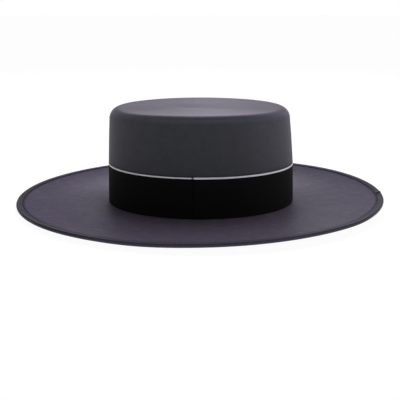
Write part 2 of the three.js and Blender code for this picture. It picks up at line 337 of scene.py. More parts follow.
def gridMesh(name, rows, turns, places, roundTrip, tube, pulls=0.0):
    # unswept grid of a piece: each point keeps its oval, lift and place as attributes for the sweep;
    # a row's pull, in mm outwards and upwards, is applied by the share that its column has, and its
    # slant, in radians, next to the ends of a strip
    slantReach = 12
    columns, depth = len(turns), len(rows)
    ends = np.array([[*r["oval"], r["height"]] for r in rows])
    sides = [[*r["side"][0], r["side"][1]] if "side" in r else end for r, end in zip(rows, ends)]
    sideShare = (np.cos(turns) ** 2)[:, None, None]
    mixed = (ends + (np.array(sides) - ends) * sideShare).reshape(-1, 4) * mm
    nearEnd = bell(np.minimum(places, places[-1] - places), 0, slantReach)
    slants = np.tile([r.get("slant", 0.0) for r in rows], columns) * np.repeat(nearEnd, depth)
    points = {
        "oval": mixed[:, [1, 0, 0]] * [1, 1, 0],
        "lift": mixed[:, [0, 2, 3]] * [0, 1, 1],
        "ribOut": np.tile([float(r.get("ribOut", 0)) for r in rows], columns),
        "rise": np.tile([r["rise"] for r in rows], columns),
        "turn": np.repeat(turns, depth) + slants,
        "along": np.repeat(places, depth) * mm,
    }
    pull = np.tile(np.array([r.get("pull", (0, 0)) for r in rows]), (columns, 1)) * mm
    pull *= np.repeat(pulls + 0 * places, depth)[:, None]
    points["oval"][:, :2] += pull[:, :1]
    points["lift"][:, 2] += pull[:, 1]
    tips = np.array([r.get("tip", -1) for r in rows])
    onTip = np.tile(tips, columns)
    sag = tipSag(-onTip * np.sin(points["turn"]), onTip * np.cos(points["turn"]))
    lean = tipLean(points["turn"], points["lift"][:, 2] / mm, np.where(onTip >= 0, onTip, 1))
    lifts = lean - np.where(onTip >= 0, sag, 0) + points["rise"] * riseAt(edgeRises, points["turn"])
    points["lift"][:, 2] += lifts * mm
    faces, corners = [], []
    steps = np.concatenate([[0], np.cumsum(np.hypot(np.diff(ends[:, 0]), np.diff(ends[:, 3])))]) * mm
    total = (places[-1] + places[1] - places[0]) * mm
    for column in range(columns if roundTrip else columns - 1):
        nextColumn = (column + 1) % columns
        nextPlace = total if nextColumn == 0 else places[nextColumn] * mm
        for i in range(depth if tube else depth - 1):
            j = (i + 1) % depth
            here, there = column * depth, nextColumn * depth
            faces.append((here + i, here + j, there + j, there + i))
            start, low, high = places[column] * mm, steps[i], steps[j] if j else steps[-1] * 2
            corners += [(start, low), (start, high), (nextPlace, high), (nextPlace, low)]
    if tube and not roundTrip:
        last = (columns - 1) * depth
        for i in range(depth // 2 - 1):
            pair = (i, i + 1, depth - 2 - i, depth - 1 - i)
            faces.append(tuple(reversed(pair)))
            faces.append(tuple(last + k for k in pair))
            corners += [(0, 0)] * 8
    mesh = bpy.data.meshes.new(name)
    mesh.from_pydata(np.zeros((columns * depth, 3)).tolist(), [], faces)
    for key, values in points.items():
        isVector = values.ndim == 2
        attribute = mesh.attributes.new(key, "FLOAT_VECTOR" if isVector else "FLOAT", "POINT")
        attribute.data.foreach_set("vector" if isVector else "value", values.astype(np.float32).ravel())
    layer = mesh.uv_layers.new(name="UVMap")
    layer.data.foreach_set("uv", np.array(corners, np.float32).ravel())
    return newObject(name, mesh)


def newTree(name, sockets):
    tree = bpy.data.node_groups.new(name, "GeometryNodeTree")
    tree.interface.new_socket("Geometry", in_out="INPUT", socket_type="NodeSocketGeometry")
    for socket, kind in sockets.items():
        tree.interface.new_socket(socket, in_out="INPUT", socket_type="NodeSocket" + kind)
    tree.interface.new_socket("Geometry", in_out="OUTPUT", socket_type="NodeSocketGeometry")
    return tree


sweepAttributes = {"oval": "FLOAT_VECTOR", "lift": "FLOAT_VECTOR", "ribOut": "FLOAT",
                   "rise": "FLOAT", "turn": "FLOAT", "along": "FLOAT"}


def sweepTree():
    # sweeps a grid round the hat's ovals, lifts its brim rows to the edge's four heights, raises the
    # ribs of a ribbon and gives felt a slight unevenness
    sockets = {"Edge Mean": "Float", "Edge Waves": "Vector", "Rib Spacing": "Float",
               "Rib Height": "Float", "Unevenness": "Float", "Uneven Spacing": "Float",
               "Material": "Material"}
    tree = newTree("sweepRoundHat", sockets)
    given = addNode(tree, "NodeGroupInput")
    read = {}
    for name, kind in sweepAttributes.items():
        node = addNode(tree, "GeometryNodeInputNamedAttribute", {"data_type": kind}, {"Name": name})
        read[name] = node.outputs["Attribute"]
    cosine = addNode(tree, "ShaderNodeMath", {"operation": "COSINE"}, links={0: read["turn"]})
    sine = addNode(tree, "ShaderNodeMath", {"operation": "SINE"}, links={0: read["turn"]})
    double = addNode(tree, "ShaderNodeMath", {"operation": "MULTIPLY"}, {1: 2.0}, {0: read["turn"]})
    doubleCosine = addNode(tree, "ShaderNodeMath", {"operation": "COSINE"}, links={0: double})
    waves = addNode(tree, "ShaderNodeCombineXYZ", links={"X": sine, "Y": cosine, "Z": doubleCosine})
    dot = addNode(tree, "ShaderNodeVectorMath", {"operation": "DOT_PRODUCT"}, links={
        0: waves, 1: given.outputs["Edge Waves"]})
    edge = addNode(tree, "ShaderNodeMath", {"operation": "ADD"}, links={
        0: dot.outputs["Value"], 1: given.outputs["Edge Mean"]})
    rising = addNode(tree, "ShaderNodeMath", {"operation": "MULTIPLY"}, links={0: edge, 1: read["rise"]})
    phase = addNode(tree, "ShaderNodeMath", {"operation": "DIVIDE"}, links={
        0: read["along"], 1: given.outputs["Rib Spacing"]})
    phaseTurn = addNode(tree, "ShaderNodeMath", {"operation": "MULTIPLY"}, {1: 2 * math.pi}, {0: phase})
    ribWave = addNode(tree, "ShaderNodeMath", {"operation": "COSINE"}, links={0: phaseTurn})
    ribHeight = addNode(tree, "ShaderNodeMath", {"operation": "MULTIPLY"}, links={
        0: ribWave, 1: given.outputs["Rib Height"]})
    ribMove = addNode(tree, "ShaderNodeMath", {"operation": "MULTIPLY"}, links={
        0: read["ribOut"], 1: ribHeight})
    ribOut = addNode(tree, "ShaderNodeCombineXYZ", links={"X": ribMove, "Y": ribMove})
    halfAxes = addNode(tree, "ShaderNodeVectorMath", {"operation": "ADD"}, links={
        0: read["oval"], 1: ribOut})
    around = addNode(tree, "ShaderNodeCombineXYZ", links={"X": cosine, "Y": sine})
    ring = addNode(tree, "ShaderNodeVectorMath", {"operation": "MULTIPLY"}, links={
        0: halfAxes, 1: around})
    upwards = addNode(tree, "ShaderNodeCombineXYZ", links={"Z": rising})
    lifted = addNode(tree, "ShaderNodeVectorMath", {"operation": "ADD"}, links={
        0: read["lift"], 1: upwards})
    place = addNode(tree, "ShaderNodeVectorMath", {"operation": "ADD"}, links={0: ring, 1: lifted})
    swept = addNode(tree, "GeometryNodeSetPosition", links={
        "Geometry": given.outputs["Geometry"], "Position": place})
    merged = addNode(tree, "GeometryNodeMergeByDistance", {}, {"Distance": 0.001 * mm}, {
        "Geometry": swept})
    scale = addNode(tree, "ShaderNodeMath", {"operation": "DIVIDE"}, {0: 1.0}, {
        1: given.outputs["Uneven Spacing"]})
    noise = addNode(tree, "ShaderNodeTexNoise", {}, {"Detail": 2.0, "Roughness": 0.4}, {"Scale": scale})
    centred = addNode(tree, "ShaderNodeMath", {"operation": "SUBTRACT"}, {1: 0.5}, {
        0: noise.outputs["Fac"]})
    amount = addNode(tree, "ShaderNodeMath", {"operation": "MULTIPLY"}, links={
        0: centred, 1: given.outputs["Unevenness"]})
    outwards = addNode(tree, "GeometryNodeInputNormal")
    shove = addNode(tree, "ShaderNodeVectorMath", {"operation": "SCALE"}, links={
        0: outwards, "Scale": amount})
    uneven = addNode(tree, "GeometryNodeSetPosition", links={"Geometry": merged, "Offset": shove})
    smooth = addNode(tree, "GeometryNodeSetShadeSmooth", links={"Geometry": uneven})
    realized = addNode(tree, "GeometryNodeRealizeInstances", links={"Geometry": smooth})
    painted = addNode(tree, "GeometryNodeSetMaterial", links={
        "Geometry": realized, "Material": given.outputs["Material"]})
    addNode(tree, "NodeGroupOutput", links={"Geometry": painted})
    return tree


def grow(piece, tree, values):
    # runs a tree on a piece and keeps the plain mesh that it makes
    modifier = piece.modifiers.new(tree.name, "NODES")
    modifier.node_group = tree
    for item in tree.interface.items_tree:
        if item.in_out == "INPUT" and item.name in values:
            modifier[item.identifier] = values[item.name]
    depsgraph = bpy.context.evaluated_depsgraph_get()
    mesh = bpy.data.meshes.new_from_object(
        piece.evaluated_get(depsgraph), preserve_all_data_layers=True, depsgraph=depsgraph)
    piece.modifiers.clear()
    piece.data = mesh
    for name in sweepAttributes:
        if name in mesh.attributes:
            mesh.attributes.remove(mesh.attributes[name])
    print(piece.name, "has", sum(len(face.vertices) - 2 for face in mesh.polygons), "triangles")
    return piece


# The height of the brim's edge is a mean and three waves, by the turn's sine and cosine and by the
# cosine of twice the turn.
front, back, left, right = [hatForm["edge" + side] for side in ("Front", "Back", "Left", "Right")]
edgeMean = (front + back + left + right) / 4
edgeWaves = [(back - front) / 2, (left - right) / 2, (left + right - front - back) / 4]
sweep = sweepTree()


def sweepValues(material, **more):
    values = {"Edge Mean": edgeMean * mm, "Edge Waves": [wave * mm for wave in edgeWaves],
              "Rib Spacing": 1.0, "Rib Height": 0.0, "Unevenness": 0.0, "Uneven Spacing": 1.0,
              "Material": material}
    values.update(more)
    return values


# Wool felt: wool fibres matted, dyed, stiffened and brushed. The eye sees a matt cloth with a fine
# mottle, short brushed streaks and a bloom of light on the nap at grazing angles. The brim's colour
# is lighter and more violet than the wall's and the tip's, partly the felt's own cast and partly a
# painted sheen; the shoulder is painted lighter, a painted light, and the brim's front and back are
# painted lighter and more violet still, a painted sheen. The nap of the tip is pressed smoother
# across its middle and on its left side, and the brim's nap beside the crown on the wearer's right.
# The nap of the brim's outer part is rougher there and at the front on the wearer's left.
feltFinish = {
    # brim, wall and tip: the brim's colour is lighter and more violet, partly the felt's own and partly a
    # painted sheen
    "brim": "#3e3b4a",
    "wall": "#313239",
    # painted light: the shoulder is lighter than the wall, as if lit from above
    "shoulder": "#4c4d56",
    "tip": "#38373f",
    "brimEndsPaintedSheen": "#433c53",   # painted sheen: lighter and more violet at the front, and a little at the back
    "mottle": 0.16,          # share by which the colour varies
    "streak": 0.35,
    "brimVariation": 1.8,    # times the mottle and the streaks
    "wallVariation": 0.65,
    "fleck": 0.6,            # light flecks where the brim's nap was rubbed
    "roughness": 0.6,
    "pressedMiddle": 0.06,   # how much less rough
    "pressedSide": 0.06,
    "pressedBrim": 0.15,
    "roughEdge": 0.12,       # how much rougher
    "roughFrontLeft": 0.09,
    "gloss": 0.235,
    "sheen": 0.117,
    "sheenRoughness": 0.45,
    "sheenTint": "#ffe6ff",
    "mottleSize": 9.0,
    "fibreWidth": 0.5,       # real fibres are 0.03 mm; drawn coarser so that they show
    "fibreLength": 5.0,
    "fibreBump": 0.06,
    "unevenness": 0.3,
    "unevenSpacing": 45,
    "fleckSize": (5.0, 13.0, 5.0),
    "grainSize": 0.9,
    "wallSpan": (8, 40),     # heights over which the brim's colour turns into the wall's
    # heights over which the shoulder's painted light comes in
    "paintedLightShoulderSpan": (98.5, 105),
    "tipSpan": (101, 106),
    "paintedSheenMiddle": 40,        # the painted sheen at the ends is measured along the hat from here
    "paintedSheenSpan": (80, 190),
    "napAreas": {            # where the nap is pressed or rough
        "tipSpan": (100, 106),   # heights
        "middle": -0.16,     # by shares of the tip's radius, towards the front
        "middleWidth": 0.45,
        "sideSpan": (0.2, 0.9),  # towards the left
        "besidePlace": 36,   # outwards from the crown's foot
        "besideWidth": 27,
        "edgeSpan": (62, 92),
        "outerSpan": (30, 60),
        "frontLeftTurn": -58,    # degrees from the wearer's left to the back
        "frontLeftWidth": 27,
        "rightSpread": 1.4,
    },
    "grid": {                # how finely the felt is drawn
        "columns": 200,
        "evenHeight": 50,    # where the columns are evenly spaced round the crown
        "tipRings": 18,
        "tipShare": 0.96,    # of the tip's radius, up to the last of its rings
        "shoulderRings": 14,
        "wallRings": 14,
        "stepRows": (0, 0.5, 1.0),  # down from the top of the step above the piping
        "pipingRow": 0.35,   # above the piping
        "levelRings": 4,
        "brimRings": 21,
        "edgeRings": 7,
    },
}


def woolFelt():
    look = feltFinish
    mottleLevels, streakLevels, fleckLevels = (0.3, 0.7), (0.55, 0.75), (0.64, 0.74)
    material, tree, place = newMaterial("woolFelt")
    mottle = addNode(tree, "ShaderNodeTexNoise", {}, {
        "Scale": 1 / (look["mottleSize"] * mm), "Detail": 4.0, "Roughness": 0.6}, {
        "Vector": place.outputs["Object"]})
    body = addNode(tree, "ShaderNodeSeparateXYZ", links={0: place.outputs["Object"]})
    upWall, paintedLightUpShoulder, upTip = [
        addNode(tree, "ShaderNodeMapRange", {}, between(look[span], mm), {"Value": body.outputs["Z"]})
        for span in ("wallSpan", "paintedLightShoulderSpan", "tipSpan")]
    # painted sheen: the brim's colour turns lighter and more violet towards its front and back
    fromMiddle = addNode(tree, "ShaderNodeMath", {"operation": "SUBTRACT"}, {1: look["paintedSheenMiddle"] * mm}, {
        0: body.outputs["Y"]})
    lengthwise = addNode(tree, "ShaderNodeMath", {"operation": "ABSOLUTE"}, {}, {0: fromMiddle})
    paintedLightToEnds = addNode(tree, "ShaderNodeMapRange", {}, between(look["paintedSheenSpan"], mm), {"Value": lengthwise})
    ground = addNode(tree, "ShaderNodeMix", {"data_type": "RGBA"}, {
        "A": linearColour(look["brim"]), "B": linearColour(look["brimEndsPaintedSheen"])}, {"Factor": paintedLightToEnds})
    # by height: the wall's colour, the shoulder's painted light and the tip's colour
    for name, share in (("wall", upWall), ("shoulder", paintedLightUpShoulder), ("tip", upTip)):
        ground = addNode(tree, "ShaderNodeMix", {"data_type": "RGBA"}, {"B": linearColour(look[name])}, {
            "Factor": share, "A": ground.outputs["Result"]})
    section = addNode(tree, "ShaderNodeSeparateXYZ", links={0: place.outputs["UV"]})
    flat = addNode(tree, "ShaderNodeVectorMath", {"operation": "MULTIPLY"}, {1: (1, 1, 0)}, {
        0: place.outputs["Object"]})
    down = addNode(tree, "ShaderNodeMath", {"operation": "MULTIPLY"}, {
        1: look["fibreLength"] / look["fibreWidth"]}, {0: section.outputs["Y"]})
    downwards = addNode(tree, "ShaderNodeCombineXYZ", links={"Z": down})
    brushed = addNode(tree, "ShaderNodeVectorMath", {"operation": "ADD"}, links={0: flat, 1: downwards})
    fibres = addNode(tree, "ShaderNodeTexNoise", {}, {
        "Scale": 1 / (look["fibreLength"] * mm), "Detail": 3.0, "Roughness": 0.65, "Distortion": 0.6}, {
        "Vector": brushed})
    mottled = addNode(tree, "ShaderNodeMapRange", {}, {
        **between(mottleLevels), "To Min": 1 - look["mottle"], "To Max": 1 + look["mottle"]}, {
        "Value": mottle.outputs["Fac"]})
    streaked = addNode(tree, "ShaderNodeMapRange", {}, {
        **between(streakLevels), "To Min": 1.0, "To Max": 1 + look["streak"]}, {
        "Value": fibres.outputs["Fac"]})
    strength = addNode(tree, "ShaderNodeMath", {"operation": "MULTIPLY"}, links={0: mottled, 1: streaked})
    variation = addNode(tree, "ShaderNodeMath", {"operation": "SUBTRACT"}, {1: 1.0}, {0: strength})
    amount = addNode(tree, "ShaderNodeMapRange", {}, {
        "To Min": look["brimVariation"], "To Max": look["wallVariation"]}, {"Value": upWall})
    varied = addNode(tree, "ShaderNodeMath", {"operation": "MULTIPLY_ADD"}, {2: 1.0}, {
        0: variation, 1: amount})
    fleckPlace = addNode(tree, "ShaderNodeMapping", {}, {
        "Scale": [1 / (size * mm) for size in look["fleckSize"]]}, {"Vector": place.outputs["Object"]})
    flecks = addNode(tree, "ShaderNodeTexNoise", {}, {"Scale": 1.0, "Detail": 1.0}, {
        "Vector": fleckPlace})
    fleckShare = addNode(tree, "ShaderNodeMapRange", {}, {
        **between(fleckLevels), "To Max": look["fleck"]}, {"Value": flecks.outputs["Fac"]})
    onBrim = addNode(tree, "ShaderNodeMath", {"operation": "SUBTRACT"}, {0: 1.0}, {1: upWall})
    fleckAmount = addNode(tree, "ShaderNodeMath", {"operation": "MULTIPLY"}, {}, {
        0: fleckShare, 1: onBrim})
    flecked = addNode(tree, "ShaderNodeMath", {"operation": "MULTIPLY_ADD"}, {}, {
        0: varied, 1: fleckAmount, 2: varied})
    colour = addNode(tree, "ShaderNodeVectorMath", {"operation": "SCALE"}, links={
        0: ground.outputs["Result"], "Scale": flecked})
    grain = addNode(tree, "ShaderNodeTexNoise", {}, {
        "Scale": 1 / (look["grainSize"] * mm), "Detail": 5.0, "Roughness": 0.7}, {
        "Vector": place.outputs["Object"]})
    relief = addNode(tree, "ShaderNodeMath", {"operation": "ADD"}, links={
        0: grain.outputs["Fac"], 1: fibres.outputs["Fac"]})
    bump = addNode(tree, "ShaderNodeBump", {}, {
        "Strength": 0.5, "Distance": look["fibreBump"] * mm}, {"Height": relief})
    nap = addNode(tree, "ShaderNodeAttribute", {"attribute_name": "napRoughness"})
    shader = addNode(tree, "ShaderNodeBsdfPrincipled", {}, {
        "Specular IOR Level": look["gloss"], "IOR": 1.5, "Sheen Weight": look["sheen"],
        "Sheen Roughness": look["sheenRoughness"], "Sheen Tint": linearColour(look["sheenTint"])}, {
        "Base Color": colour, "Roughness": nap.outputs["Fac"], "Normal": bump})
    addNode(tree, "ShaderNodeOutputMaterial", links={"Surface": shader})
    return material


def feltRows():
    form, grid = hatForm, feltFinish["grid"]
    shoulderFoot = form["crownHeight"] - form["shoulderRadius"]
    pipingTop = pipingHigh[2]
    stepTop = pipingTop + form["stepRise"]
    stepHeights = [pipingTop, pipingTop + form["stepBend"][0] * form["stepRise"], stepTop]
    stepDepths = [ribbonBed, form["stepBend"][1] * ribbonBed, 0]

    def shoulder(turn, thickness, radius):
        # oval and height of the shoulder where its face has turned up by an angle
        bend = radius - thickness
        oval = insetOval(wallOval(form["crownHeight"] - radius), thickness + bend * (1 - math.cos(turn)))
        return oval, form["crownHeight"] - radius + bend * math.sin(turn)

    def crown(thickness):
        rows = []
        radii = form["shoulderRadius"], form["sideShoulder"]
        rims = [shoulder(math.pi / 2, thickness, radius) for radius in radii]
        for share in np.linspace(0, grid["tipShare"], grid["tipRings"]):
            middle = rims[0][0] * [0, 0, 1]
            (oval, height), side = [(middle + (rim - middle) * share, top) for rim, top in rims]
            rows.append(row(oval, height, side=side, tip=share))
        for turn in np.radians(np.linspace(90, 0, grid["shoulderRings"])):
            (oval, height), side = [shoulder(turn, thickness, radius) for radius in radii]
            rows.append(row(oval, height, side=side))
        heights = list(np.linspace(shoulderFoot, stepTop, grid["wallRings"])[1:-1])
        heights += [stepTop - step for step in grid["stepRows"]]
        heights += [pipingTop + grid["pipingRow"], pipingTop]
        heights += [(pipingTop + form["felt"]) / 2, form["felt"] + form["footFillet"]]
        for height in heights:
            depth = np.interp(height, stepHeights, stepDepths)
            rows.append(row(wallOval(height, depth + thickness), height))
        footRings = 5 if thickness else 3
        for turn in np.radians(np.linspace(0, 90, footRings + 1)[1:]):
            bend = form["footFillet"] + thickness
            oval = wallOval(0, ribbonBed - form["footFillet"] + bend * math.cos(turn))
            rows.append(row(oval, form["felt"] + form["footFillet"] - bend * math.sin(turn)))
        return rows

    def brim(above):
        ovals = []
        for start, end, rings in ((brimFoot, levelEnd, "levelRings"), (levelEnd, skiveEnd, "brimRings")):
            ovals += [start + (end - start) * share for share in np.linspace(0, 1, grid[rings] + 1)[1:]]
        return [brimRow(oval, above) for oval in ovals]

    fold = form["skivedFelt"] / 2
    foldMiddle = fold + form["gap"] + form["ribbon"]
    edge = []
    for turn in np.radians(np.linspace(90, -90, grid["edgeRings"])):
        oval = insetOval(brimEdge, foldMiddle - fold * math.cos(turn))
        edge.append(brimRow(oval, fold * math.sin(turn)))
    half = form["felt"] / 2
    rows = crown(0) + brim(half)
    rows += [brimRow(skiveEnd, fold)] + edge + [brimRow(skiveEnd, -fold)]
    rows += list(reversed(brim(-half))) + list(reversed(crown(form["felt"])))
    return rows


def napRoughness(rows, turns):
    look, areas = feltFinish, feltFinish["napAreas"]
    share = np.array([r.get("tip", 1.0) for r in rows])
    onTip = ramp(np.array([r["height"] for r in rows]), areas["tipSpan"])
    front, left = -np.sin(turns)[:, None] * share, np.cos(turns)[:, None] * share
    side = ramp(left, areas["sideSpan"])
    smoothSide = side ** 2 * (3 - 2 * side)
    middle = bell(front, areas["middle"], areas["middleWidth"])
    pressed = onTip * (look["pressedMiddle"] * middle + look["pressedSide"] * smoothSide)
    outward = np.array([r["oval"][0] for r in rows]) - brimFoot[0]
    right = np.clip(-areas["rightSpread"] * np.cos(turns), 0, 1)[:, None]
    beside = bell(outward, areas["besidePlace"], areas["besideWidth"]) * (outward > 0) * right
    pressed = pressed + look["pressedBrim"] * beside
    fromFrontLeft = (np.degrees(turns) - areas["frontLeftTurn"] + 180) % 360 - 180
    frontLeft = bell(fromFrontLeft, 0, areas["frontLeftWidth"])[:, None]
    rough = look["roughEdge"] * ramp(outward, areas["edgeSpan"]) * right
    rough = rough + look["roughFrontLeft"] * ramp(outward, areas["outerSpan"]) * frontLeft
    return look["roughness"] - pressed + rough


def makeFelt():
    look, grid = feltFinish, feltFinish["grid"]
    rows = feltRows()
    turns, places = turnsAlong(wallOval(grid["evenHeight"]), 0, 2 * math.pi, grid["columns"] + 1)
    piece = gridMesh("crownAndBrim", rows, turns[:-1], places[:-1], True, False)
    nap = piece.data.attributes.new("napRoughness", "FLOAT", "POINT")
    nap.data.foreach_set("value", napRoughness(rows, turns[:-1]).astype(np.float32).ravel())
    grow(piece, sweep, sweepValues(woolFelt(), **{
        "Unevenness": look["unevenness"] * mm, "Uneven Spacing": look["unevenSpacing"] * mm}))
    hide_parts("felt_body")
    return piece


crownAndBrim = makeFelt()

# Grosgrain: silk-like warp over thick weft ribs that run across the ribbon. The eye sees a fine
# even ribbing with a low gloss on each rib.
ribbonFinish = {
    "colour": "#0a0a0b",
    "roughness": 0.75,
    "gloss": 0.06,
    "sheen": 0.02,
    "sheenTint": "#ffffff",
    "ribSpacing": 0.95,
    "ribHeight": 0.07,
    "ribBump": 0.0,          # these ribs are in the mesh
    "columnsPerRib": 3,
    "heightRows": 7,
    "edgeSteps": (0, 0.35, 1.2),  # rows beside the ribbon's edges
    "edgeRounding": (0.25, 0.05),
    "joinAngle": -5.0,
    "joinGap": 0.12,
    "endShade": 0.6,
    "endDip": 0.3,
    "endDipLength": 0.35,
    "lapLength": 14.0,       # the end behind the join is folded under and lies over the other
    "lapLift": 0.35,
    "lapFade": 2.5,
}


def foldShades(tree, look, place, along, shades):
    # painted shade: darkens a folded ribbon along its fold and at the hat's front and back
    body = addNode(tree, "ShaderNodeSeparateXYZ", links={0: place.outputs["Object"]})
    lengthwise = addNode(tree, "ShaderNodeMath", {"operation": "ABSOLUTE"}, {}, {0: body.outputs["Y"]})
    paintedLightToEnds = addNode(tree, "ShaderNodeMapRange", {}, {
        **between(look["foldShadeSpan"], mm), "To Min": look["foldShade"][0],
        "To Max": look["foldShade"][1]}, {"Value": lengthwise})
    fromFold = addNode(tree, "ShaderNodeMath", {"operation": "SUBTRACT"}, {1: look["foldPlace"] * mm}, {
        0: along.outputs["Y"]})
    apart = addNode(tree, "ShaderNodeMath", {"operation": "ABSOLUTE"}, {}, {0: fromFold})
    onFold = addNode(tree, "ShaderNodeMapRange", {}, {
        **between(look["foldSpan"], mm), "To Min": 1.0, "To Max": 0.0}, {"Value": apart})
    folded = addNode(tree, "ShaderNodeMath", {"operation": "MULTIPLY"}, {}, {0: paintedLightToEnds, 1: onFold})
    unfolded = addNode(tree, "ShaderNodeMath", {"operation": "SUBTRACT"}, {0: 1.0}, {1: folded})
    outermost = addNode(tree, "ShaderNodeMapRange", {}, {
        **between(look["outermostSpan"], mm), "To Min": 1.0, "To Max": look["outermostShade"]}, {
        "Value": lengthwise})
    for share in (outermost, unfolded):
        shades = addNode(tree, "ShaderNodeMath", {"operation": "MULTIPLY"}, {}, {0: shades, 1: share})
    return shades


def grosgrain(name, look):
    material, tree, place = newMaterial(name)
    warpSize = 0.25
    threads = addNode(tree, "ShaderNodeMapping", {}, {
        "Scale": (1 / (look["ribSpacing"] * mm), 1 / (warpSize * mm), 1.0)}, {
        "Vector": place.outputs["UV"]})
    warp = addNode(tree, "ShaderNodeTexNoise", {"noise_dimensions": "2D"}, {
        "Scale": 1.0, "Detail": 2.0, "Roughness": 0.6}, {"Vector": threads})
    along = addNode(tree, "ShaderNodeSeparateXYZ", links={0: place.outputs["UV"]})
    ribTurn = addNode(tree, "ShaderNodeMath", {"operation": "MULTIPLY"}, {
        1: 2 * math.pi / (look["ribSpacing"] * mm)}, {0: along.outputs["X"]})
    ribWave = addNode(tree, "ShaderNodeMath", {"operation": "COSINE"}, links={0: ribTurn})
    warpHeight = 0.04
    warpRelief = addNode(tree, "ShaderNodeMath", {"operation": "MULTIPLY"}, {1: warpHeight}, {
        0: warp.outputs["Fac"]})
    relief = addNode(tree, "ShaderNodeMath", {"operation": "MULTIPLY_ADD"}, {1: look["ribBump"]}, {
        0: ribWave, 2: warpRelief})
    shade = addNode(tree, "ShaderNodeMapRange", {}, {"To Min": 0.75, "To Max": 1.3}, {
        "Value": warp.outputs["Fac"]})
    # painted shade: the colour darkens over the first millimetre of the strip, at its cut end
    endShade = addNode(tree, "ShaderNodeMapRange", {}, {"From Max": mm, "To Min": look["endShade"]}, {
        "Value": along.outputs["X"]})
    shades = addNode(tree, "ShaderNodeMath", {"operation": "MULTIPLY"}, {}, {0: shade, 1: endShade})
    if "foldShade" in look:
        shades = foldShades(tree, look, place, along, shades)
    colour = addNode(tree, "ShaderNodeVectorMath", {"operation": "SCALE"}, {
        0: linearColour(look["colour"])[:3]}, {"Scale": shades})
    bump = addNode(tree, "ShaderNodeBump", {}, {"Strength": 1.0, "Distance": mm}, {"Height": relief})
    shader = addNode(tree, "ShaderNodeBsdfPrincipled", {}, {
        "Roughness": look["roughness"], "Specular IOR Level": look["gloss"], "Sheen Weight": look["sheen"],
        "Sheen Roughness": 0.4, "Sheen Tint": linearColour(look["sheenTint"])}, {
        "Base Color": colour, "Normal": bump})
    addNode(tree, "ShaderNodeOutputMaterial", links={"Surface": shader})
    return material


def openTurns(oval, angle, gap, spacing):
    # columns of a strip that starts and ends at a narrow gap
    middle = math.radians(angle)
    halfGap = gap / 2 / oval[1]
    a, b = oval[0], oval[1]
    length = math.pi * (3 * (a + b) - math.sqrt((3 * a + b) * (a + 3 * b)))
    end = middle + 2 * math.pi - halfGap
    return turnsAlong(oval, middle + halfGap, end, round(length / spacing) + 1)


def makeRibbon():
    look = ribbonFinish
    foot, top = bandLow[2], bandHigh[2]
    heights = [foot + step for step in look["edgeSteps"]]
    heights += list(np.linspace(foot, top, look["heightRows"])[1:-1])
    heights += [top - step for step in reversed(look["edgeSteps"])]
    rounding = [*look["edgeRounding"], *[0] * (len(heights) - 4), *reversed(look["edgeRounding"])]
    outer = [row(wallOval(height, inset), height, ribOut=inset < rounding[0], pull=(1, 0))
             for height, inset in zip(heights, rounding)]
    inner = [row(wallOval(height, hatForm["ribbon"]), height) for height in reversed(heights)]
    spacing = look["ribSpacing"] / look["columnsPerRib"]
    turns, places = openTurns(wallOval(foot), look["joinAngle"], look["joinGap"], spacing)
    fromEnd = np.minimum(places, places[-1] - places)
    lapEnd = look["lapLength"] + look["lapFade"]
    lap = look["lapLift"] * (1 - ramp(places, (look["lapLength"], lapEnd)) ** 2)
    lap -= look["endDip"] * bell(fromEnd, 0, look["endDipLength"])
    piece = gridMesh("blackRibbon", outer + inner, turns, places, False, True, lap)
    values = {"Rib Spacing": look["ribSpacing"] * mm, "Rib Height": look["ribHeight"] / 2 * mm}
    grow(piece, sweep, sweepValues(grosgrain("blackGrosgrain", look), **values))
    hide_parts("ribbon_band")
    return piece


blackRibbon = makeRibbon()

# Piping: a satin cord. The eye sees a smooth white line with a soft gloss along its middle.
pipingFinish = {
    "colour": "#e4e4e8",
    "roughness": 0.45,
    "sheen": 0.7,
    "proud": 0.3,            # how far it stands out from the ribbon
    "sides": 16,
    "columnSpacing": 1.0,
    "joinGap": 0.7,
    "twistSpacing": 1.6,
    "twistAngle": 32,
    "twistBump": 0.05,
    "stretch": 0.22,         # how much thinner it is before its far end
    "stretchLength": 70.0,
    "nearRound": 0.6,        # the near end is rounded, and the cord swells beside it
    "nearRoundLength": 0.5,
    "nearSwell": 0.12,
    "nearSwellLength": 25.0,
    "farTaper": 0.7,         # the far end dips into the join
    "taperLength": 3.0,
    "taperPower": 1.5,
}


def satinCord():
    look = pipingFinish
    material, tree, place = newMaterial("satinCord")
    slanted = addNode(tree, "ShaderNodeMapping", {}, {
        "Rotation": (0, 0, math.radians(look["twistAngle"])),
        "Scale": (1 / (look["twistSpacing"] * mm),) * 3}, {"Vector": place.outputs["UV"]})
    twist = addNode(tree, "ShaderNodeTexWave", {"wave_type": "BANDS", "bands_direction": "X"}, {
        "Scale": 0.3, "Distortion": 0.4, "Detail": 1.0}, {"Vector": slanted})
    shade = addNode(tree, "ShaderNodeMapRange", {}, {"To Min": 0.9, "To Max": 1.0}, {
        "Value": twist.outputs["Fac"]})
    colour = addNode(tree, "ShaderNodeVectorMath", {"operation": "SCALE"}, {
        0: linearColour(look["colour"])[:3]}, {"Scale": shade})
    bump = addNode(tree, "ShaderNodeBump", {}, {"Strength": 0.3, "Distance": look["twistBump"] * mm}, {
        "Height": twist.outputs["Fac"]})
    shader = addNode(tree, "ShaderNodeBsdfPrincipled", {}, {
        "Roughness": look["roughness"], "Sheen Weight": look["sheen"]}, {
        "Base Color": colour, "Normal": bump})
    addNode(tree, "ShaderNodeOutputMaterial", links={"Surface": shader})
    return material


